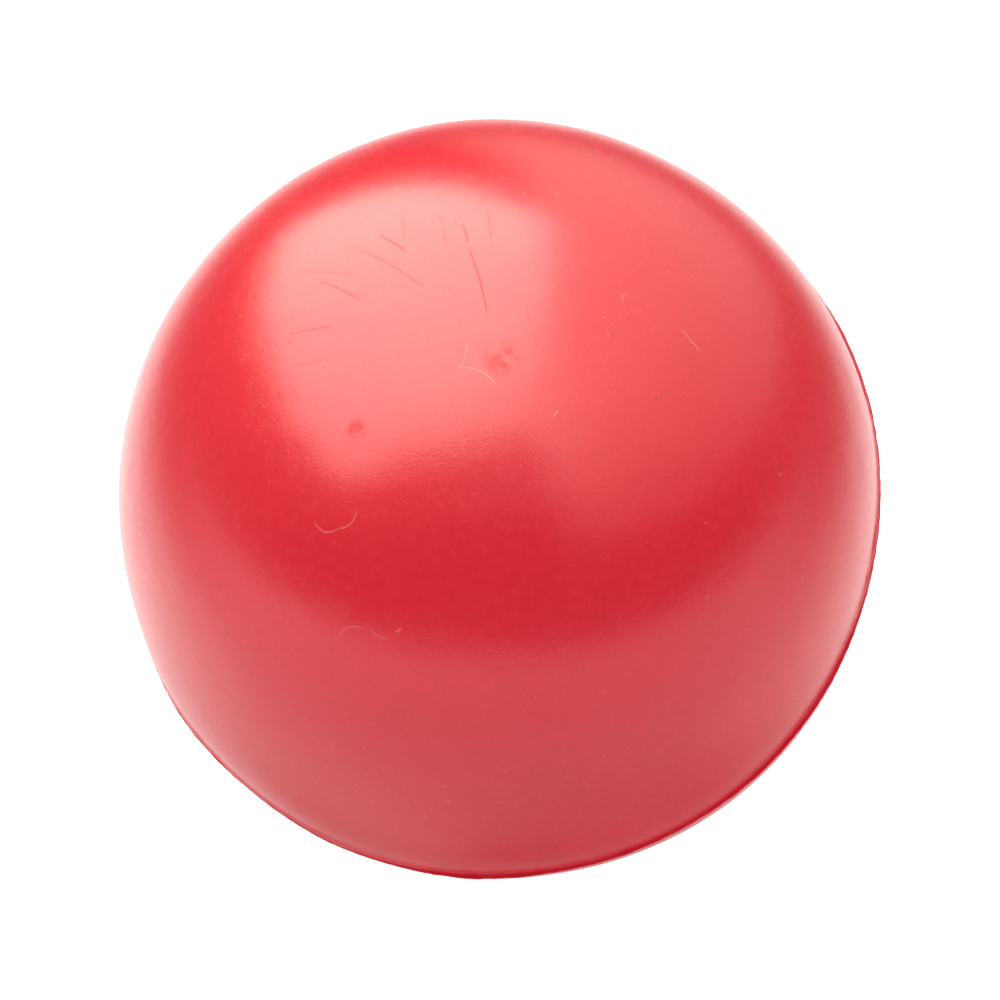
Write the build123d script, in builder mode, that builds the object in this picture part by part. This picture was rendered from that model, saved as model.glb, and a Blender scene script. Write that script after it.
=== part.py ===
"""A hand-squeeze stress ball: a soft foam ball moulded in two halves, with a coloured film on it.

The ball stands on the origin, with +Z up along the axis of its mould, so the parting plane of
the two mould halves is horizontal at half height. From the outside in, each half has

* a thin coloured film, laid on the wall of its mould half before the foam went in, and
* a dense skin, where the foam stayed solid against the mould.

One soft foam core fills both halves. At the parting plane some foam crept out between the mould
halves: its trimmed edge is the parting bead, a low ridge right round the ball.

Every piece is a solid of revolution about the mould axis. Lengths are in millimetres.
"""

from build123d import *
from math import atan2, cos, degrees, radians, sin, sqrt
import os

# Driving dimensions
BALL_DIAMETER = 70.0     # over the coloured film, away from the bead
COAT_THICKNESS = 0.2     # coloured film
SKIN_THICKNESS = 1.5     # dense foam skin under the film
LAYER_GAP = 0.02         # clearance that keeps neighbouring solids apart
BEAD_HEIGHT = 0.4        # how far the parting bead stands proud of the film
BEAD_BASE = 1.2          # width of the bead where it leaves the skin
BEAD_CREST = 0.4         # width of the bead's flat trimmed top
BEAD_EDGE = 0.1          # rounding of the two edges of that top

# Worked-out dimensions
ball_radius = BALL_DIAMETER / 2
centre_height = ball_radius              # the ball touches its support at the origin
film_inner = ball_radius - COAT_THICKNESS
skin_outer = film_inner - LAYER_GAP
skin_inner = skin_outer - SKIN_THICKNESS
core_radius = skin_inner - LAYER_GAP
crest_radius = ball_radius + BEAD_HEIGHT
bead_root = film_inner                   # the bead starts where the film's inner face is

# Every profile is drawn in this plane: its X is the distance from the mould axis, and its Y the
# height above the parting plane.
PROFILE = Plane(origin=(0, 0, centre_height), x_dir=(1, 0, 0), z_dir=(0, -1, 0))


def on_circle(radius, latitude):
    """The profile point at a latitude, in degrees above the parting plane, on a centred circle."""
    return (radius * cos(radians(latitude)), radius * sin(radians(latitude)))


def latitude_at_height(radius, height):
    """The latitude at which a centred circle reaches a height above the parting plane."""
    return degrees(atan2(height, sqrt(radius**2 - height**2)))


def layer_outline(outer, inner, lower_outer, lower_inner):
    """Draws the closed outline of one half's layer, from its rim up to the mould axis."""
    outer_rim = on_circle(outer, lower_outer)
    inner_rim = on_circle(inner, lower_inner)
    outer_middle = on_circle(outer, (lower_outer + 90) / 2)
    inner_middle = on_circle(inner, (lower_inner + 90) / 2)
    ThreePointArc(outer_rim, outer_middle, (0, outer))
    Line((0, outer), (0, inner))
    ThreePointArc((0, inner), inner_middle, inner_rim)
    Line(inner_rim, outer_rim)


def bead_flank_height(radius, gap=0.0):
    """Half the bead's width at a radius, on its sloping flank, plus a gap beside it."""
    rise = (radius - bead_root) / (crest_radius - bead_root)
    return BEAD_BASE / 2 - rise * (BEAD_BASE - BEAD_CREST) / 2 + gap


# The film ends on the bead's flank, so its rim slopes as the flank does.
film_rim_outer = latitude_at_height(ball_radius, bead_flank_height(ball_radius, LAYER_GAP))
film_rim_inner = latitude_at_height(film_inner, bead_flank_height(film_inner, LAYER_GAP))
# The two skins stop just short of each other at the parting plane.
skin_rim_outer = latitude_at_height(skin_outer, LAYER_GAP / 2)
skin_rim_inner = latitude_at_height(skin_inner, LAYER_GAP / 2)


# --- Foam core: one soft ball that fills both halves ---
with BuildPart() as foam_core:
    with Locations((0, 0, centre_height)):
        Sphere(core_radius)
foam_core.part.label = "foam_core"


# --- Dense skin, one bowl for each mould half ---
with BuildPart() as upper_skin:
    with BuildSketch(PROFILE):
        with BuildLine():
            layer_outline(skin_outer, skin_inner, skin_rim_outer, skin_rim_inner)
        make_face()
    revolve(axis=Axis.Z)
upper_skin.part.label = "upper_skin"

with BuildPart() as lower_skin:
    add(mirror(upper_skin.part, about=Plane.XY.offset(centre_height), mode=Mode.PRIVATE))
lower_skin.part.label = "lower_skin"


# --- Coloured film, one for each mould half ---
with BuildPart() as upper_coat:
    with BuildSketch(PROFILE):
        with BuildLine():
            layer_outline(ball_radius, film_inner, film_rim_outer, film_rim_inner)
        make_face()
    revolve(axis=Axis.Z)
upper_coat.part.label = "upper_coat"

with BuildPart() as lower_coat:
    add(mirror(upper_coat.part, about=Plane.XY.offset(centre_height), mode=Mode.PRIVATE))
lower_coat.part.label = "lower_coat"


# --- Parting bead: the trimmed edge of foam that crept out between the mould halves ---
with BuildPart() as parting_bead:
    with BuildSketch(PROFILE):
        with BuildLine():
            Polyline(
                (bead_root, BEAD_BASE / 2),
                (crest_radius, BEAD_CREST / 2),
                (crest_radius, -BEAD_CREST / 2),
                (bead_root, -BEAD_BASE / 2),
            )
            # the bead's root follows the skin that it grew from
            ThreePointArc(
                (bead_root, -BEAD_BASE / 2),
                (bead_root + LAYER_GAP / 2, 0),
                (bead_root, BEAD_BASE / 2),
            )
        make_face()
    revolve(axis=Axis.Z)
    crest_edges = parting_bead.edges().filter_by(GeomType.CIRCLE).group_by(
        lambda edge: edge.radius
    )[-1]
    fillet(crest_edges, radius=BEAD_EDGE)
parting_bead.part.label = "parting_bead"


pieces = [foam_core, upper_skin, lower_skin, upper_coat, lower_coat, parting_bead]

os.makedirs("parts", exist_ok=True)
for piece in pieces:
    export_step(piece.part, f"parts/{piece.part.label}.step")
    size = piece.part.bounding_box().size
    print(f"{piece.part.label}: volume {piece.part.volume:.1f} mm3, size {size}")
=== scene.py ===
"""Looks of a foam stress ball: a soft ball moulded in two halves, with a satin red film on it.

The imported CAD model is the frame: its nodes give every size and place here. Each of them is
stood for by a finished piece that is built below:

* two film halves, thin shells that are a little uneven, with a shallow step along their rims,
* a parting bead with a lumpy trimmed top, whose thin feet lie in those steps,
* two bowls of dense foam skin, and
* a core of open-celled foam.

Everything is in metres, with +Z up along the mould axis and the ball standing on the origin.
"""

from math import asin, cos, degrees, pi, radians, sin, sqrt

import bpy
import numpy as np
from mathutils import Matrix, Vector


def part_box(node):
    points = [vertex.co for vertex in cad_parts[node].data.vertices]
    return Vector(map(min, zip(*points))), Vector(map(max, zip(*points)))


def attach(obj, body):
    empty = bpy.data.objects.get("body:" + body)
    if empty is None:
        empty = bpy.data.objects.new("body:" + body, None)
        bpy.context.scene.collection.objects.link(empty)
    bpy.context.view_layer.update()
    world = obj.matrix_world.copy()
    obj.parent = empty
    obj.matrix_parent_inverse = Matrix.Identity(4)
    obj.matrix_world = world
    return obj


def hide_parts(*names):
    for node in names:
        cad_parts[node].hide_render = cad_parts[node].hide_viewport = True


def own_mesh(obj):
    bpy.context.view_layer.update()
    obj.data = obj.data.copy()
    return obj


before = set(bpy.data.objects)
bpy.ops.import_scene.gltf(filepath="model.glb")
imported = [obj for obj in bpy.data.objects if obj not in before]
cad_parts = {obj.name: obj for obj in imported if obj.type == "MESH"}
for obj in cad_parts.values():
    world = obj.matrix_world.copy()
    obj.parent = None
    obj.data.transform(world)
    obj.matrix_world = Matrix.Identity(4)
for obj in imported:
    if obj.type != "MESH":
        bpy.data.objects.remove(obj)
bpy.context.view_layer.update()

MM = 0.001

COAT_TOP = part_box("upper_coat")[1].z
COAT_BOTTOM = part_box("lower_coat")[0].z
BALL_RADIUS = (COAT_TOP - COAT_BOTTOM) / 2
CENTRE = Vector((0, 0, (COAT_TOP + COAT_BOTTOM) / 2))
BEAD_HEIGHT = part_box("parting_bead")[1].x - BALL_RADIUS
SKIN_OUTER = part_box("upper_skin")[1].z - CENTRE.z
CORE_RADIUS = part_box("foam_core")[1].z - CENTRE.z

# --- Sizes of the finish -------------------------------------------------------------------
COAT = 0.2 * MM              # thickness of the film
SKIN = 1.5 * MM              # thickness of the dense foam skin
GAP = 0.008 * MM             # hairline between two pieces that meet
LAP_HEIGHT = 0.92 * MM       # how far from the parting plane the bead's feet reach
LAP_DEPTH = 0.03 * MM        # depth of the step in the film that a foot lies in
FILM_RIM = 0.62 * MM         # how far from the parting plane the film ends, under that foot
BEAD_ROOT = 0.19 * MM        # how far below the ball's surface the bead's inside lies
CREST_HALF = 0.17 * MM       # half the width of the bead's trimmed top
FLANK = 0.34 * MM            # how far beside its top the bead has fallen to about a third
SKIN_GAP = 0.01 * MM         # how far from the parting plane each skin ends
CELL_ROOM = 0.06 * MM        # how far the core's cells keep below the skin
SKIN_CELLS = 0.05 * MM       # depth of the cells in the skin's inner face,
BROAD_CELLS = 0.10 * MM      # and of the broad and the small ones in the core
SMALL_CELLS = 0.06 * MM

# Broad rises and dips of the ball: longitude, latitude and spread in degrees, and height in
# millimetres.
UNEVEN = (
    (-71, -10, 16, 0.16),
    (-143, -9, 18, 0.12),
    (-107, -9, 14, -0.10),
    (77, 12, 26, 0.06),
    (29, 9, 18, -0.14),
    (-15, 3, 15, 0.14),
    (-174, 2, 9, 0.16),
    (161, 4, 18, -0.08),
    (-30, 48, 24, 0.05),
    (140, 50, 30, -0.05),
    (60, -40, 30, -0.08),
    (-120, -55, 26, 0.05),
)

# Fainter unevenness all over: height, size from rise to rise, and seed.
FAINT_UNEVEN = ((0.012 * MM, 14 * MM, 4), (0.004 * MM, 5 * MM, 5))

# The ball stands on its lower pole: its unevenness fades out from the first of these latitudes to
# the second, and gives way to a flattening by this much, so that nothing is below the origin.
FOOT_LATITUDES = (-60, -85)
FOOT_FLAT = 0.03 * MM

# The bead's height round the ball, as shares of its full height: the mean, then ripples with the
# share, seed, and fewest and most waves a turn of each.
BEAD_MEAN = 0.86
BEAD_RIPPLES = ((0.08, 11, 3, 16), (0.02, 12, 30, 90), (0.008, 13, 90, 230))
SIDE_SHARE = 0.7             # its height away from the front, as a share of that at the front
SIDE_SPREAD = 1.5            # its flanks are this much wider there

# Where the bead was trimmed closer: longitude and spread in degrees, and the share cut away.
TRIMMED = ((20, 16, 0.95), (165, 18, 0.95))

# Small lumps on the bead: height, size from lump to lump, and seed.
LUMPS = ((0.007 * MM, 1.3 * MM, 31), (0.004 * MM, 0.5 * MM, 32))

# Rings of the meshes close to the parting plane, by their height above it in millimetres.
FILM_RINGS = (4.6, 4.2, 3.8, 3.4, 3.0, 2.6)
FILM_RINGS_NEAR = (2.3, 2.0, 1.75, 1.5, 1.3, 1.15, 1.05, 0.98)
BEAD_RINGS = (0.85, 0.76, 0.68, 0.61, 0.55, 0.49, 0.43, 0.38, 0.33, 0.28, 0.23, 0.18, 0.12, 0.06)

# Rows of points between the edge of a polar grid and the finer rings, or the other grid.
FILM_ROWS = 46
FILM_INSIDE_ROWS = 26
SKIN_ROWS = 42
CORE_ROWS = 112

CAP_EDGE = 52                # a square grid covers each pole as far as this, in degrees of arc
BASE_COUNT = 384             # points round a ring away from the bead


# --- Shape helpers -------------------------------------------------------------------------
def ripple(longitude, seed, low, high, terms=14):
    """A smooth random wave round the ball, of about unit height, with low to high waves a turn."""
    random = np.random.default_rng(seed)
    waves = np.unique(np.round(np.geomspace(low, high, terms)).astype(int))
    phases = random.uniform(0, 2 * pi, len(waves))
    total = sum(np.cos(n * longitude + phase) for n, phase in zip(waves, phases))
    return total / sqrt(len(waves) / 2)


def pebble(points, seed, period, terms=24):
    """A smooth random field over points in space, of about unit height and the given period."""
    random = np.random.default_rng(seed)
    directions = random.normal(size=(terms, 3))
    directions /= np.linalg.norm(directions, axis=1)[:, None]
    stretch = random.uniform(0.7, 1.4, terms)
    phases = random.uniform(0, 2 * pi, terms)
    total = np.zeros(points.shape[:-1])
    for direction, k, phase in zip(directions, stretch, phases):
        total += np.cos(points @ direction * (2 * pi * k / period) + phase)
    return total / sqrt(terms / 2)


def smooth(value, low, high):
    """0 below low, 1 above high, and a smooth step between them."""
    share = np.clip((value - low) / (high - low), 0, 1)
    return share * share * (3 - 2 * share)


def on_sphere(longitude, latitude):
    """Unit vectors from the ball's centre, for angles in radians."""
    return np.stack(
        (np.cos(latitude) * np.cos(longitude), np.cos(latitude) * np.sin(longitude), np.sin(latitude)),
        axis=-1,
    )


def unevenness(longitude, latitude):
    """How far the ball stands proud of a true sphere, for angles in radians."""
    out = on_sphere(longitude, latitude)
    rise = np.zeros(np.broadcast(longitude, latitude).shape)
    for lon, lat, spread, height in UNEVEN:
        middle = on_sphere(np.radians(lon), np.radians(lat))
        distance = np.degrees(np.arccos(np.clip(out @ middle, -1, 1)))
        rise += height * MM * np.exp(-((distance / spread) ** 2))
    for height, period, seed in FAINT_UNEVEN:
        rise += height * pebble(out * BALL_RADIUS, seed, period)
    foot = smooth(np.degrees(latitude), *FOOT_LATITUDES)
    return rise * (1 - foot) - FOOT_FLAT * foot


def cap_grid(count):
    """A square grid bent to a disc whose edge has count points: longitudes and shares of radius."""
    side = count // 4
    line = np.linspace(-1, 1, side + 1)
    a, b = np.meshgrid(line, line, indexing="ij")
    wide = np.abs(a) >= np.abs(b)
    with np.errstate(divide="ignore", invalid="ignore"):
        turn = np.where(wide, pi / 4 * b / a, pi / 2 - pi / 4 * a / b)
    turn = np.nan_to_num(turn)
    reach = np.where(wide, a, b)
    x, y = reach * np.cos(turn), reach * np.sin(turn)
    return np.arctan2(y, x), np.hypot(x, y)


def squares(index):
    """The four-sided faces between the points of a grid, from a grid of the points' numbers."""
    corners = (index[:-1, :-1], index[1:, :-1], index[1:, 1:], index[:-1, 1:])
    return np.stack(corners, axis=-1).reshape(-1, 4)


class RingMesh:
    """Collects rings of points round the mould axis, and the faces between them.

    place(longitude, along) gives a point's distance from the axis and its height above the
    parting plane. along is a place on the piece's outline.
    """

    def __init__(self, place):
        self.place = place
        self.points = []
        self.faces = []
        self.total = 0

    def add_points(self, longitude, along):
        longitude, along = np.broadcast_arrays(longitude, along)
        radius, height = self.place(longitude.ravel(), along.ravel())
        block = np.stack(
            (radius * np.cos(longitude.ravel()), radius * np.sin(longitude.ravel()), height), axis=-1
        )
        first = self.total
        self.points.append(block)
        self.total += len(block)
        return first

    def ring(self, count, along):
        first = self.add_points(np.arange(count) * 2 * pi / count, along)
        return np.arange(first, first + count)

    def cap(self, count, pole, edge):
        """A square grid from the pole to the edge of the outline. Returns its outer ring."""
        longitude, share = cap_grid(count)
        side = count // 4
        first = self.add_points(longitude, pole + share * (edge - pole))
        index = np.arange(first, first + (side + 1) ** 2).reshape(side + 1, side + 1)
        self.faces += [tuple(face) for face in squares(index)]
        outer = np.zeros(count, int)
        for grid in (index[0], index[-1], index[:, 0], index[:, -1]):
            for i in grid:
                step = round(longitude.ravel()[i - first] / (2 * pi) * count) % count
                outer[step] = i
        return outer

    def join(self, one, two):
        """Faces between two rings, which have the same count or one twice the other's."""
        if len(one) > len(two):
            one, two = two, one
        count = len(one)
        following = np.roll(one, -1)
        if len(two) == count:
            self.faces += list(zip(one, following, np.roll(two, -1), two))
        else:
            start, middle, end = two[0::2], two[1::2], np.roll(two[0::2], -1)
            self.faces += list(zip(one, middle, start))
            self.faces += list(zip(one, following, middle))
            self.faces += list(zip(following, end, middle))

    def loft(self, rings):
        for one, two in zip(rings, rings[1:]):
            self.join(one, two)

    def build(self, name):
        """The finished mesh object, with its rest place kept for the materials to follow."""
        points = np.concatenate(self.points) + np.array(CENTRE)
        mesh = bpy.data.meshes.new(name)
        mesh.from_pydata(points.tolist(), [], [tuple(int(i) for i in face) for face in self.faces])
        mesh.validate()
        piece = bpy.data.objects.new(name, mesh)
        bpy.context.scene.collection.objects.link(piece)
        bpy.context.view_layer.objects.active = piece
        piece.select_set(True)
        bpy.ops.object.mode_set(mode="EDIT")
        bpy.ops.mesh.select_all(action="SELECT")
        bpy.ops.mesh.normals_make_consistent(inside=False)
        bpy.ops.object.mode_set(mode="OBJECT")
        piece.select_set(False)
        mesh.polygons.foreach_set("use_smooth", [True] * len(mesh.polygons))
        rest = mesh.attributes.new("rest", "FLOAT_VECTOR", "POINT")
        rest.data.foreach_set("vector", (points - np.array(CENTRE)).ravel())
        mesh.update()
        return piece


# --- Pieces --------------------------------------------------------------------------------
def film_half(name, side):
    """One half of the film: side is 1 above the parting plane and -1 below it.

    Its outline runs from 0 at the outer pole to 90 at the parting plane and on to 180 at the
    inner pole, in degrees of arc.
    """
    def place(longitude, along):
        outer = along <= 90
        latitude = np.radians(np.where(outer, 90 - along, along - 90))
        radius = BALL_RADIUS + unevenness(longitude, side * latitude)
        height = radius * np.sin(latitude)
        lap = LAP_DEPTH * (1 - smooth(height, LAP_HEIGHT - GAP, LAP_HEIGHT + GAP))
        radius = radius - np.where(outer, lap, COAT)
        return radius * np.cos(latitude), side * radius * np.sin(latitude)

    def along_at(height):
        return 90 - degrees(asin(height / BALL_RADIUS))

    mesh = RingMesh(place)
    # the outside, with finer rings towards the parting plane
    rings = [mesh.cap(BASE_COUNT, 0, CAP_EDGE)]
    for along in np.linspace(CAP_EDGE, along_at(5 * MM), FILM_ROWS)[1:]:
        rings.append(mesh.ring(BASE_COUNT, along))
    for height in FILM_RINGS:
        rings.append(mesh.ring(2 * BASE_COUNT, along_at(height * MM)))
    for height in FILM_RINGS_NEAR:
        rings.append(mesh.ring(4 * BASE_COUNT, along_at(height * MM)))
    for height in (LAP_HEIGHT + 2 * GAP, LAP_HEIGHT + GAP, LAP_HEIGHT - GAP, 0.8 * MM, FILM_RIM):
        rings.append(mesh.ring(4 * BASE_COUNT, along_at(height)))
    # the inside, from the rim back to the pole, with coarser rings
    for count, height in ((4, FILM_RIM), (2, 1.0 * MM), (1, 1.6 * MM)):
        rings.append(mesh.ring(count * BASE_COUNT, 180 - along_at(height)))
    for along in np.linspace(180 - along_at(2.8 * MM), 180 - CAP_EDGE, FILM_INSIDE_ROWS)[:-1]:
        rings.append(mesh.ring(BASE_COUNT // 2, along))
    rings.append(mesh.cap(BASE_COUNT // 2, 180, 180 - CAP_EDGE))
    mesh.loft(rings)
    return mesh.build(name)


def bead_top(longitude, height):
    """How far the bead's surface stands proud of the film, at a height above the parting plane."""
    size = BEAD_HEIGHT * (
        BEAD_MEAN + sum(share * ripple(longitude, *wave) for share, *wave in BEAD_RIPPLES)
    )
    # it is a clear ridge only at the front, and a lower swelling elsewhere
    ridge = smooth(-np.sin(longitude), 0.6, 0.9)
    size = size * (SIDE_SHARE + (1 - SIDE_SHARE) * ridge)
    for middle, spread, share in TRIMMED:
        apart = (np.degrees(longitude) - middle + 180) % 360 - 180
        size = size * (1 - share * np.exp(-((apart / spread) ** 4)))
    # its two flanks vary in width, each by itself, and its crest wanders up and down
    upper_flank = ripple(longitude, seed=21, low=24, high=110)
    lower_flank = ripple(longitude, seed=22, low=24, high=110)
    flank = FLANK * (1 + 0.10 * np.where(height > 0, upper_flank, lower_flank))
    flank = flank * (SIDE_SPREAD + (1 - SIDE_SPREAD) * ridge)
    wander = 0.05 * MM * ripple(longitude, seed=23, low=4, high=30)
    distance = np.maximum(np.abs(height - wander) - CREST_HALF, 0)
    top = size * np.exp(-((distance / flank) ** 1.5))
    # small lumps, mostly on the lower flank
    place = np.stack(
        (BALL_RADIUS * np.cos(longitude), BALL_RADIUS * np.sin(longitude), height), axis=-1
    )
    lumps = sum(rise * pebble(place, seed, period, terms=32) for rise, period, seed in LUMPS)
    lumps = lumps * np.where(height < 0, 1.6, 0.8)
    fade = 1 - smooth(np.abs(height), 0.45 * MM, 0.85 * MM)
    return (top + lumps * fade) * (1 - smooth(np.abs(height), 0.7 * MM, LAP_HEIGHT))


def parting_bead():
    """The bead. Its outline runs over its top from the upper foot to the lower, and back inside.

    A place on the outline is the number of a ring, counted from the upper foot's edge.
    """
    # the rings over the top, as heights above the parting plane
    above = [LAP_HEIGHT - 2 * GAP, LAP_HEIGHT - 3 * GAP] + [height * MM for height in BEAD_RINGS]
    over = above + [0.0] + [-height for height in reversed(above)]
    # the rings inside, as heights and depths below the ball's surface: the root, which fills the
    # gap between the two film rims, and the underside of a foot, which thins out to its edge
    root = FILM_RIM - GAP
    above = [(0.3 * MM, BEAD_ROOT), (root, BEAD_ROOT), (root, 0.025 * MM)]
    above += [(0.78 * MM, 0.024 * MM), (LAP_HEIGHT - 0.03 * MM, 0.022 * MM)]
    below = [(-height, depth) for height, depth in reversed(above)]
    inside = below + [(0, BEAD_ROOT)] + above

    def place(longitude, along):
        index = int(round(float(along[0])))
        if index < len(over):
            height = np.full(longitude.shape, over[index])
            rise = bead_top(longitude, height)
        else:
            level, depth = inside[index - len(over)]
            height = np.full(longitude.shape, level)
            rise = -depth
        latitude = np.arcsin(height / BALL_RADIUS)
        radius = (BALL_RADIUS + unevenness(longitude, latitude)) * np.cos(latitude)
        return radius + rise, height

    mesh = RingMesh(place)
    rings = [mesh.ring(4 * BASE_COUNT, index) for index in range(len(over) + len(inside))]
    mesh.loft(rings + rings[:1])
    return mesh.build("trimmed_bead")


def skin_half(name, side):
    """One bowl of dense foam, close under the film, with a slightly cellular inner face."""
    rim = degrees(asin(SKIN_GAP / SKIN_OUTER))

    def place(longitude, along):
        outer = along <= 90
        latitude = np.radians(np.where(outer, 90 - along, along - 90))
        radius = SKIN_OUTER + unevenness(longitude, side * latitude)
        out = on_sphere(longitude, side * latitude)
        cells = SKIN_CELLS * pebble(out * CORE_RADIUS, seed=41, period=3 * MM)
        radius = radius - np.where(outer, 0, SKIN + np.minimum(cells, 0))
        return radius * np.cos(latitude), side * np.maximum(radius * np.sin(latitude), SKIN_GAP)

    mesh = RingMesh(place)
    count = BASE_COUNT // 2
    rings = [mesh.cap(count, 0, CAP_EDGE)]
    for along in np.linspace(CAP_EDGE, 90 - rim, SKIN_ROWS)[1:]:
        rings.append(mesh.ring(count, along))
    for along in np.linspace(90 + rim, 180 - CAP_EDGE, SKIN_ROWS)[:-1]:
        rings.append(mesh.ring(count, along))
    rings.append(mesh.cap(count, 180, 180 - CAP_EDGE))
    mesh.loft(rings)
    return mesh.build(name)


def foam_core():
    """The soft core: a ball of open-celled foam, all shallow pits and walls between them."""
    def place(longitude, along):
        latitude = np.radians(90 - along)
        out = on_sphere(longitude, latitude)
        broad_share = 0.5 + 0.25 * pebble(out * CORE_RADIUS, seed=51, period=2.2 * MM, terms=40)
        small_share = 0.5 + 0.25 * pebble(out * CORE_RADIUS, seed=52, period=1.3 * MM, terms=40)
        pits = BROAD_CELLS * np.clip(broad_share, 0, 1) + SMALL_CELLS * np.clip(small_share, 0, 1)
        radius = CORE_RADIUS + unevenness(longitude, latitude) - CELL_ROOM - pits
        return radius * np.cos(latitude), radius * np.sin(latitude)

    mesh = RingMesh(place)
    rings = [mesh.cap(BASE_COUNT, 0, CAP_EDGE)]
    for along in np.linspace(CAP_EDGE, 180 - CAP_EDGE, CORE_ROWS)[1:-1]:
        rings.append(mesh.ring(BASE_COUNT, along))
    rings.append(mesh.cap(BASE_COUNT, 180, 180 - CAP_EDGE))
    mesh.loft(rings)
    return mesh.build("open_foam_core")


# --- Materials -----------------------------------------------------------------------------
class Finish:
    """A material's node tree, with short calls that each add a node and return its output."""

    def __init__(self, name):
        self.material = bpy.data.materials.new(name)
        self.material.use_nodes = True
        self.tree = self.material.node_tree
        self.tree.nodes.clear()

    def add(self, kind, inputs, output=0, **settings):
        node = self.tree.nodes.new("ShaderNode" + kind)
        for key, value in settings.items():
            setattr(node, key, value)
        for key, value in inputs.items():
            if isinstance(value, bpy.types.NodeSocket):
                self.tree.links.new(value, node.inputs[key])
            else:
                node.inputs[key].default_value = value
        return node.outputs[output]

    def rest(self):
        """The point's place at rest, from the ball's centre, so that detail follows a squeeze."""
        return self.add("Attribute", {}, output="Vector", attribute_name="rest")

    def math(self, operation, a, b=0.0):
        return self.add("Math", {0: a, 1: b}, operation=operation)

    def vector(self, operation, a, b=(0, 0, 0)):
        output = "Value" if operation in ("DOT_PRODUCT", "DISTANCE") else "Vector"
        return self.add("VectorMath", {0: a, 1: b}, output=output, operation=operation)

    def noise(self, where, period, detail=2.0, roughness=0.5):
        """Smooth noise from 0 to 1, with the given distance from rise to rise."""
        values = {"Vector": where, "Scale": 1 / period, "Detail": detail, "Roughness": roughness}
        return self.add("TexNoise", values, output="Fac")

    def cells(self, where, size, feature="F1"):
        """The distance to the middle of the nearest cell, or to its edge, as a share of its size."""
        values = {"Vector": where, "Scale": 1 / size}
        return self.add("TexVoronoi", values, output="Distance", feature=feature)

    def span(self, value, low, high, to_low=0.0, to_high=1.0):
        """value from low..high mapped smoothly to to_low..to_high."""
        values = {"Value": value, "From Min": low, "From Max": high}
        values.update({"To Min": to_low, "To Max": to_high})
        return self.add("MapRange", values, interpolation_type="SMOOTHSTEP")

    def blend(self, share, one, two):
        """Colour one where share is 0, and two where it is 1."""
        values = {0: share, 6: one, 7: two}
        return self.add("Mix", values, output=2, data_type="RGBA", clamp_factor=True)

    def bump(self, height, distance, normal=None):
        """The normal of a surface raised by height times distance, on top of another normal."""
        values = {"Height": height, "Distance": distance, "Strength": 1.0}
        if normal is not None:
            values["Normal"] = normal
        return self.add("Bump", values, output="Normal")

    def surface(self, **inputs):
        """Ends the tree with one surface shader. Spaces in its inputs' names are written as _."""
        values = {name.replace("_", " "): value for name, value in inputs.items()}
        self.add_output(self.add("BsdfPrincipled", values, output="BSDF"))
        return self.material

    def add_output(self, shader):
        output = self.tree.nodes.new("ShaderNodeOutputMaterial")
        self.tree.links.new(shader, output.inputs["Surface"])


def colour(r, g, b):
    return (r, g, b, 1.0)


# The film's colours: two shades of its red, what its marks blend it to, the darker red over the bead
# (partly a denser film, partly painted shade), and the painted shade in its pits
RED_DEEP = colour(0.755, 0.015, 0.034)
RED_LIGHT = colour(0.80, 0.018, 0.040)
RED_DULLED = colour(0.64, 0.008, 0.018)
# darker red for the bead: partly a denser film, partly painted shade of its groove
RED_DENSER_AND_SHADED = colour(0.66, 0.010, 0.028)
DUST = colour(0.95, 0.62, 0.58)
# a dark red painted into the pits as their shade
PIT_SHADE = colour(0.30, 0.004, 0.010)

# Marks of use that the top of the ball shows: longitude, latitude and heading in degrees, half
# length in millimetres, bend per millimetre, width in millimetres, and strength.
SCRATCHES = (
    (84, 56, 119, 2.1, -0.013, 0.14, 0.9),
    (88, 59, 118, 6.0, -0.008, 0.13, 0.6),
    (103, 59, 108, 3.1, -0.015, 0.13, 0.7),
    (118, 60, 126, 2.7, -0.012, 0.13, 0.7),
    (128, 63, 120, 1.7, 0.045, 0.13, 0.6),
    (80, 53, 83, 2.5, -0.010, 0.12, 0.6),
    (64, 57, 106, 1.4, -0.070, 0.13, 0.8),
    (58, 66, 110, 4.3, -0.014, 0.13, 0.8),
    (58, 55, 104, 2.4, -0.018, 0.13, 0.6),
    (103, 54, 125, 3.6, -0.011, 0.13, 0.6),
    (70, 56, 97, 2.6, -0.020, 0.12, 0.6),
    (124, 58, 159, 0.4, 0.0, 0.16, 0.7),
)
FIBRES = (
    (-172, 64, 41, 1.4, 0.40, 0.08, 0.28),
    (-168, 68, 90, 1.3, 0.31, 0.08, 0.28),
    (-149, 55, 48, 1.7, -0.30, 0.08, 0.22),
    (-141, 56, -7, 1.0, 0.30, 0.08, 0.22),
    (-136, 58, 46, 0.4, 0.0, 0.10, 0.28),
    (46, 81, 171, 2.0, -0.15, 0.08, 0.28),
    (61, 79, 76, 1.6, -0.12, 0.08, 0.20),
    (16, 57, -67, 0.6, -1.20, 0.08, 0.28),
    (-2, 51, 20, 1.4, -0.01, 0.08, 0.28),
    (-18, 76, -46, 0.4, 0.0, 0.10, 0.28),
    (46, 45, 161, 0.7, 0.0, 0.10, 0.20),
)
# Smudges and pits: longitude, latitude, radius in millimetres, and strength.
SMUDGES = ((35, 78, 2.6, 0.7), (152, 74, 1.4, 0.9), (80, 72, 0.45, 0.7), (67, 55, 0.35, 0.7))
PITS = ((-16, 60, 0.16, 0.8), (-14, 58, 0.16, 0.8), (159, 84, 0.10, 0.5))


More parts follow.
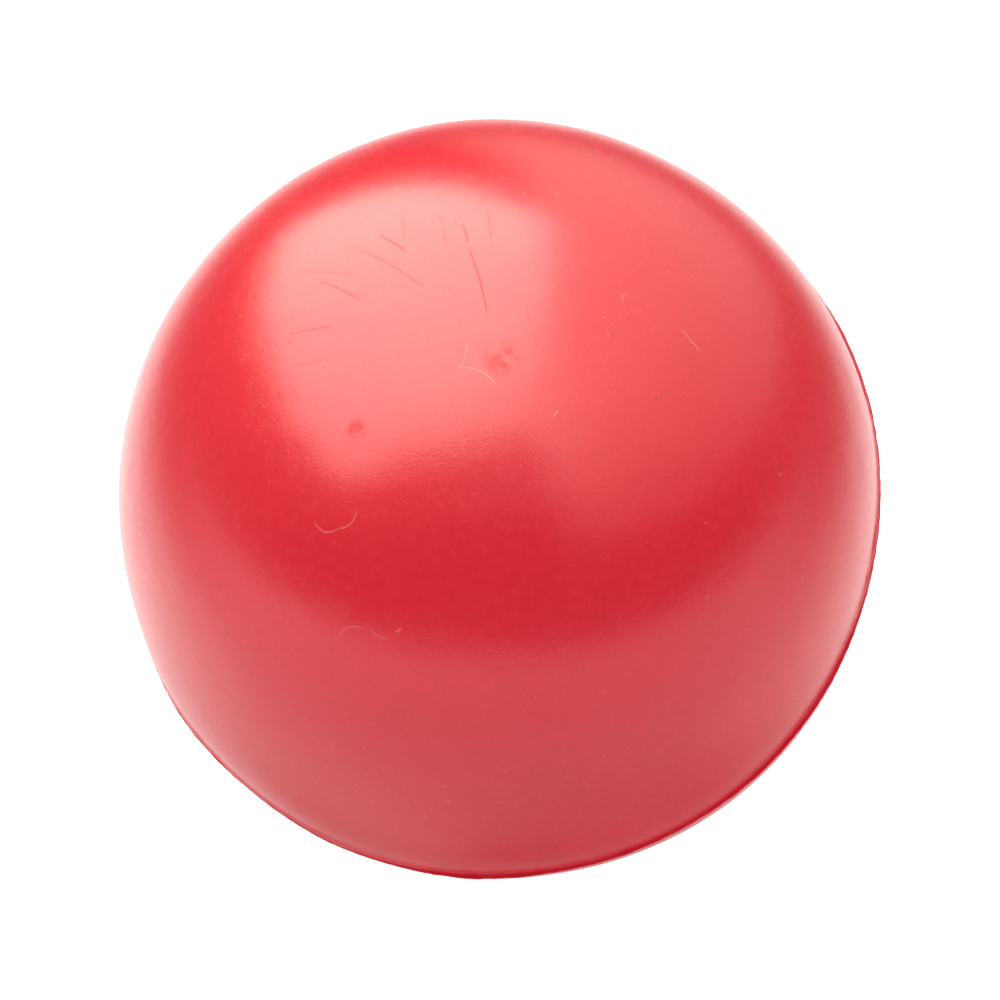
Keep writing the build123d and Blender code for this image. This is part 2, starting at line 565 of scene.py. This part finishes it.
def line_mark(f, rest, mark):
    """1 on a thin curved line over the ball, and 0 elsewhere, times the mark's strength."""
    longitude, latitude, heading, half_length, bend, width, strength = mark
    lon, lat, turn = radians(longitude), radians(latitude), radians(heading)
    middle = Vector(on_sphere(lon, lat))
    east = Vector((-sin(lon), cos(lon), 0))
    north = middle.cross(east)
    along = f.vector("DOT_PRODUCT", rest, cos(turn) * east + sin(turn) * north)
    across = f.vector("DOT_PRODUCT", rest, cos(turn) * north - sin(turn) * east)
    curve = f.math("MULTIPLY", f.math("MULTIPLY", along, along), bend / MM)
    aside = f.math("ABSOLUTE", f.math("SUBTRACT", across, curve))
    body = f.span(aside, 0.25 * width * MM, width * MM, strength, 0.0)
    ends = f.span(f.math("ABSOLUTE", along), 0.7 * half_length * MM, half_length * MM, 1.0, 0.0)
    near = f.math("GREATER_THAN", f.vector("DOT_PRODUCT", rest, middle), 0.0)
    return f.math("MULTIPLY", f.math("MULTIPLY", body, ends), near)


def spot(f, rest, mark, soft):
    """The mark's strength at a spot on the ball, fading to 0 over its radius."""
    longitude, latitude, radius, strength = mark
    middle = Vector(on_sphere(radians(longitude), radians(latitude))) * BALL_RADIUS
    distance = f.vector("DISTANCE", rest, middle)
    return f.span(distance, (1 - soft) * radius * MM, radius * MM, strength, 0.0)


def most(f, shares):
    """The largest of several shares."""
    total = shares[0]
    for share in shares[1:]:
        total = f.math("MAXIMUM", total, share)
    return total


def stray_scratches(f, rest):
    """Faint fine scratches all over, which run three ways and come in patches."""
    random = np.random.default_rng(61)
    shares = []
    for turn in range(3):
        axes = np.linalg.qr(random.normal(size=(3, 3)))[0]
        lengths = (7.0, 0.16, 0.16)
        parts = {}
        for key, axis, length in zip("XYZ", axes, lengths):
            parts[key] = f.vector("DOT_PRODUCT", rest, Vector(axis / (length * MM)))
        streaks = f.noise(f.add("CombineXYZ", parts), 1.0, detail=0.0)
        patch = f.span(f.noise(rest, (9 + turn) * MM, detail=0.0), 0.50, 0.62)
        shares.append(f.math("MULTIPLY", f.span(streaks, 0.74, 0.80), patch))
    return most(f, shares)


def crease_and_shade_share(f, rest):
    """How creased the film is over the bead, which also sets where painted shade darkens it: 1 at the
    parting plane, and 0 clear of the bead.

    The creased band is uneven, and widest at the front of the ball.
    """
    height = f.math("ABSOLUTE", f.vector("DOT_PRODUCT", rest, (0, 0, 1)))
    edge = f.math("MULTIPLY", f.math("SUBTRACT", f.noise(rest, 0.7 * MM), 0.5), 0.2 * MM)
    forward = f.vector("DOT_PRODUCT", rest, (0, -1, 0))
    front = f.span(forward, 0.6 * BALL_RADIUS, 0.9 * BALL_RADIUS)
    width = f.span(front, 0.0, 1.0, 0.58 * MM, 1.10 * MM)
    return f.span(f.math("DIVIDE", f.math("ADD", height, edge), width), 0.45, 1.0, 1.0, 0.0)


def red_film(name, bead=False):
    """Satin red film: fine orange peel, faint mottling, dust, small pits darkened by painted shade,
    and handling marks.

    On the bead it is stretched and creased, so it has next to no shine there, and a darker red that is
    partly a denser film and partly painted shade of the groove beside the bead.
    """
    f = Finish(name)
    rest = f.rest()
    mottle = f.noise(rest, 0.9 * MM, detail=2.0)
    cloud = f.noise(rest, 16 * MM, detail=2.0)
    shade = f.math("ADD", f.math("MULTIPLY", mottle, 0.06), f.math("MULTIPLY", cloud, 0.10))
    base = f.blend(f.span(shade, 0.05, 0.11), RED_DEEP, RED_LIGHT)

    peel = f.noise(rest, 0.25 * MM, detail=1.0, roughness=0.6)
    grain = f.noise(rest, 0.9 * MM, detail=1.0)
    normal = f.bump(grain, 0.005 * MM)
    normal = f.bump(peel, 0.015 * MM, normal)

    # scratches and smudges take away from the shine, and darken the film a little
    blots = f.span(f.noise(rest, 1.4 * MM, detail=2.0), 0.38, 0.56)
    smudges = f.math("MULTIPLY", most(f, [spot(f, rest, mark, 0.8) for mark in SMUDGES]), blots)
    scratches = most(f, [line_mark(f, rest, mark) for mark in SCRATCHES])
    strays = f.math("MULTIPLY", stray_scratches(f, rest), 0.35)
    dull = most(f, [smudges, scratches, strays])
    shine = f.span(dull, 0.0, 1.0, 0.5, 0.25)
    base = f.blend(f.math("MULTIPLY", dull, 0.7), base, RED_DULLED)

    # dust: pale specks up to 0.2 mm across, and lint
    specks = f.math("SUBTRACT", 1.0, f.span(f.cells(rest, 3.2 * MM), 0.012, 0.036))
    lint = most(f, [line_mark(f, rest, mark) for mark in FIBRES])
    pale = most(f, [f.math("MULTIPLY", specks, 0.5), lint])
    base = f.blend(pale, base, DUST)

    # pits: sunk, and darkened by painted shade inside them
    few = f.span(f.cells(f.vector("ADD", rest, (3.0, 5.0, 7.0)), 7.5 * MM), 0.010, 0.020, 0.6, 0.0)
    pits = most(f, [few] + [spot(f, rest, mark, 0.6) for mark in PITS])
    base = f.blend(pits, base, PIT_SHADE)
    normal = f.bump(f.math("MULTIPLY", pits, -1.0), 0.02 * MM, normal)

    rough = f.span(mottle, 0.3, 0.7, 0.25, 0.275)
    if bead:
        # over the bead the red is darkened, partly as a denser film and partly as painted shade of the
        # groove, and it loses its shine
        crease_and_shade = crease_and_shade_share(f, rest)
        base = f.blend(f.math("MULTIPLY", crease_and_shade, 0.8), base, RED_DENSER_AND_SHADED)
        rough = f.math("ADD", rough, f.math("MULTIPLY", crease_and_shade, 0.3))
        shine = f.math("MULTIPLY", shine, f.math("SUBTRACT", 1.0, f.math("MULTIPLY", crease_and_shade, 0.97)))
    return f.surface(
        Base_Color=base,
        Roughness=rough,
        IOR=1.5,
        Specular_IOR_Level=shine,
        Normal=normal,
    )


def foam(name, pale, hollow_shade, cell):
    """Cream polyurethane foam, with open cells of the given size, whose hollows are darkened by
    painted shade.
    """
    f = Finish(name)
    rest = f.rest()
    walls = f.cells(rest, cell, feature="DISTANCE_TO_EDGE")
    fine = f.cells(rest, cell / 2.6, feature="DISTANCE_TO_EDGE")
    cloud = f.noise(rest, 12 * MM)
    # the cells' sunk middles take the darker colour: painted shade in the hollows
    base = f.blend(f.span(walls, 0.02, 0.28), pale, hollow_shade)
    base = f.blend(f.math("MULTIPLY", f.span(cloud, 0.35, 0.7), 0.25), base, pale)
    normal = f.bump(f.span(walls, 0.0, 0.3, 1.0, 0.0), cell * 0.25)
    normal = f.bump(f.span(fine, 0.0, 0.3, 1.0, 0.0), cell * 0.08, normal)
    return f.surface(Base_Color=base, Roughness=0.85, IOR=1.45, Normal=normal)


# --- Build the object ----------------------------------------------------------------------
RED_FILM = red_film("red_film")
BEAD_FILM = red_film("bead_film", bead=True)
# the second colour of each foam is painted shade for the hollows of its cells
DENSE_FOAM = foam("dense_foam", colour(0.80, 0.70, 0.52), colour(0.66, 0.54, 0.36), 0.35 * MM)
SOFT_FOAM = foam("soft_foam", colour(0.84, 0.75, 0.56), colour(0.62, 0.50, 0.32), 0.9 * MM)

TOP = (0, 0, 2 * BALL_RADIUS)
BOTTOM = (0, 0, 0)

BUILD = (
    # piece, body, the end that it flattens towards, CAD node, slot, material
    (foam_core(), "lower_half", BOTTOM, "foam_core", "soft_foam", SOFT_FOAM),
    (skin_half("lower_foam_skin", -1), "lower_half", BOTTOM, "lower_skin", "dense_foam", DENSE_FOAM),
    (skin_half("upper_foam_skin", 1), "upper_half", TOP, "upper_skin", "dense_foam", DENSE_FOAM),
    (film_half("lower_film", -1), "lower_half", BOTTOM, "lower_coat", "red_film", RED_FILM),
    (film_half("upper_film", 1), "upper_half", TOP, "upper_coat", "red_film", RED_FILM),
    (parting_bead(), "lower_half", BOTTOM, "parting_bead", "bead_film", BEAD_FILM),
)
for piece, body, end, node, slot, material in BUILD:
    piece.data.materials.append(material)
    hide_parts(node)
    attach(piece, body)
    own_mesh(piece)


# --- Camera --------------------------------------------------------------------------------
CAMERA_ELEVATION = 78        # above the parting plane, in degrees
CAMERA_ROLL = 27             # turns the picture of the ball counter-clockwise
CAMERA_DISTANCE = 1.4        # from the ball's centre, in metres
LENS = 547.3                 # focal length in millimetres, for a sensor SENSOR wide
SENSOR = 36
OFFSET_RIGHT = 0.18 * MM     # how far the picture's middle is to the right of the ball's centre
OFFSET_DOWN = 0.05 * MM      # and how far below it

elevation, roll = radians(CAMERA_ELEVATION), radians(CAMERA_ROLL)
back = Vector((0, -cos(elevation), sin(elevation)))
level_up = Vector((0, sin(elevation), cos(elevation)))
level_right = Vector((1, 0, 0))
right = cos(roll) * level_right - sin(roll) * level_up
up = cos(roll) * level_up + sin(roll) * level_right

camera = bpy.data.objects.new("camera", bpy.data.cameras.new("camera"))
bpy.context.scene.collection.objects.link(camera)
camera.data.sensor_width = SENSOR
camera.data.lens = LENS
camera.data.clip_start, camera.data.clip_end = 0.01, 20
middle = CENTRE + right * OFFSET_RIGHT - up * OFFSET_DOWN
turn = Matrix((right, up, back)).transposed().to_4x4()
camera.matrix_world = Matrix.Translation(middle + back * CAMERA_DISTANCE) @ turn
bpy.context.scene.camera = camera


# --- Studio --------------------------------------------------------------------------------
# The ball lies tilted in the studio, and the camera looks down on it at this angle, in degrees.
STUDIO_TILT = 43
studio_up = up * cos(radians(STUDIO_TILT)) + back * sin(radians(STUDIO_TILT))
studio_front = back * cos(radians(STUDIO_TILT)) - up * sin(radians(STUDIO_TILT))


def studio(azimuth, elevation):
    """A direction in the studio: azimuth 0 is towards the camera's side, and 90 to its right."""
    a, e = radians(azimuth), radians(elevation)
    return studio_front * (cos(e) * cos(a)) + right * (cos(e) * sin(a)) + studio_up * sin(e)


def only_for(thing, *rays):
    """Shows a light or a panel to these kinds of ray only."""
    for ray in ("camera", "diffuse", "glossy", "transmission", "volume_scatter", "shadow"):
        setattr(thing, "visible_" + ray, ray in rays)


TENT_RADIUS = 0.6            # how far from the ball the light tent stands, in metres
PANEL_BLUE = 0.87            # the share of blue in the light of its panels,
TABLE_BLUE = 0.96            # and of the table
LAMP_DISTANCE = 1.0
LAMP_SIZE = 0.8
WARM = (1.0, 1.0, 0.65)

# The table's brightness in the tent, as pairs of depth below level in degrees and brightness: on
# the camera's side of the ball, and behind the ball.
TABLE_FRONT = ((4, 2.2), (20, 1.55), (40, 1.3), (60, 0.85), (88, 0.3))
TABLE_REAR = (
    (4, 0.15), (14, 0.15), (20, 0.6), (26, 1.5), (36, 1.9), (44, 1.6), (54, 0.9), (64, 0.4), (88, 0.2)
)


def tent_patch(name, reach, glow, blue, distance=TENT_RADIUS):
    """A lit patch of the light tent, seen only in reflections.

    reach is a grid of directions from the ball, of any length, and glow their brightness. blue is
    the share of blue in its light, below 1 for a warmer white.
    """
    rows, columns = glow.shape
    reach = reach / np.linalg.norm(reach, axis=-1, keepdims=True)
    points = (reach * distance).reshape(-1, 3) + np.array(CENTRE)
    index = np.arange(rows * columns).reshape(rows, columns)
    mesh = bpy.data.meshes.new(name)
    mesh.from_pydata(points.tolist(), [], squares(index).tolist())
    level = mesh.attributes.new("glow", "FLOAT", "POINT")
    level.data.foreach_set("value", glow.ravel())
    patch = bpy.data.objects.new(name, mesh)
    bpy.context.scene.collection.objects.link(patch)
    f = Finish(name)
    level = f.add("Attribute", {}, output="Fac", attribute_name="glow")
    f.add_output(f.add("Emission", {"Color": colour(1.0, 1.0, blue), "Strength": level}))
    mesh.materials.append(f.material)
    only_for(patch, "glossy")


def panel(name, corners, glow, distance=TENT_RADIUS):
    """A four-cornered patch. corners are its (azimuth, elevation), and glow the strength of each.

    Its middle is nearer than its corners before it is bent to the tent, and glows the more for it.
    """
    share = np.linspace(0, 1, 25)
    u, v = np.meshgrid(share, share, indexing="ij")
    weights = ((1 - u) * (1 - v), u * (1 - v), u * v, (1 - u) * v)
    reach = sum(w[..., None] * np.array(studio(*corner)) for w, corner in zip(weights, corners))
    level = sum(w * g for w, g in zip(weights, glow))
    tent_patch(name, reach, level / np.linalg.norm(reach, axis=-1), PANEL_BLUE, distance)


def table_shine():
    """The pale table in the lower half of the tent, which is brighter to the left of the ball."""
    depth = np.linspace(TABLE_FRONT[0][0], TABLE_FRONT[-1][0], 40)[:, None]
    azimuth = np.linspace(-180, 180, 73)[None, :]
    front = np.interp(depth, *zip(*TABLE_FRONT))
    rear = np.interp(depth, *zip(*TABLE_REAR))
    share = smooth(np.abs(azimuth), 60, 120)
    lean = 0.15 + 0.25 * smooth(depth, 40, 60)
    glow = ((1 - share) * front + share * rear) * (1 - lean * np.sin(np.radians(azimuth)))
    reach = np.array([[studio(a, -e) for a in azimuth[0]] for e in depth[:, 0]])
    tent_patch("table_shine", reach, glow, TABLE_BLUE)


def lamp(name, azimuth, elevation, watts, tint=(1, 1, 1)):
    """A soft light that lights the ball but isn't seen in its shine, which the tent makes."""
    data = bpy.data.lights.new(name, "AREA")
    data.shape = "DISK"
    data.size = LAMP_SIZE
    data.energy = watts
    data.color = tint
    light = bpy.data.objects.new(name, data)
    direction = studio(azimuth, elevation)
    light.location = CENTRE + direction * LAMP_DISTANCE
    light.rotation_euler = direction.to_track_quat("Z", "Y").to_euler()
    bpy.context.scene.collection.objects.link(light)
    only_for(light, "diffuse", "shadow")


panel(
    "key_panel",
    corners=((-149, 5), (-58, 32), (20, 61), (165, 44)),
    glow=(4.1, 5.9, 2.8, 10.0),
)
panel(
    "right_panel",
    corners=((26, 21), (193, -19), (165, 44), (20, 61)),
    glow=(0.2, 0.0, 1.0, 4.2),
    distance=TENT_RADIUS + 0.02,
)
table_shine()

lamp("left_lamp", azimuth=-150, elevation=20, watts=4.4, tint=WARM)
lamp("top_lamp", azimuth=-60, elevation=80, watts=4.9, tint=WARM)
lamp("side_lamp", azimuth=-90, elevation=20, watts=0.9)
lamp("front_lamp", azimuth=0, elevation=60, watts=2.5)


FLOOR_RADIUS = 3.0
DOME_RADIUS = 3.4
FLOOR_GLOW = 0.85            # lifts the lit floor to white
DOME_GLOW = 1.2


def floor_and_backdrop():
    """A plain white floor, and a white dome behind it that only the camera sees."""
    f = Finish("white_floor")
    diffuse = f.add("BsdfDiffuse", {"Color": colour(0.8, 0.8, 0.8)})
    glow = f.add("Emission", {"Color": colour(1, 1, 1), "Strength": FLOOR_GLOW})
    f.add_output(f.add("AddShader", {0: diffuse, 1: glow}))
    bpy.ops.mesh.primitive_circle_add(vertices=96, radius=FLOOR_RADIUS, fill_type="NGON")
    floor = bpy.context.object
    floor.name = "floor"
    f.material.cycles.emission_sampling = "NONE"     # its glow is faint, and needs no aimed rays
    floor.data.materials.append(f.material)
    only_for(floor, "camera", "diffuse", "shadow")

    g = Finish("white_backdrop")
    g.add_output(g.add("Emission", {"Color": colour(1, 1, 1), "Strength": DOME_GLOW}))
    bpy.ops.mesh.primitive_uv_sphere_add(segments=64, ring_count=32, radius=DOME_RADIUS)
    dome = bpy.context.object
    dome.name = "backdrop"
    dome.data.materials.append(g.material)
    only_for(dome, "camera")


floor_and_backdrop()

# plain white air, which lights the ball from all round and isn't seen in its shine
world = bpy.data.worlds.new("studio_air")
bpy.context.scene.world = world
world.use_nodes = True
air = world.node_tree.nodes["Background"]
air.inputs["Color"].default_value = colour(1, 1, 1)
air.inputs["Strength"].default_value = 0.34
world.cycles_visibility.glossy = False
world.cycles.sampling_method = "NONE"
bpy.context.scene.view_settings.view_transform = "Standard"
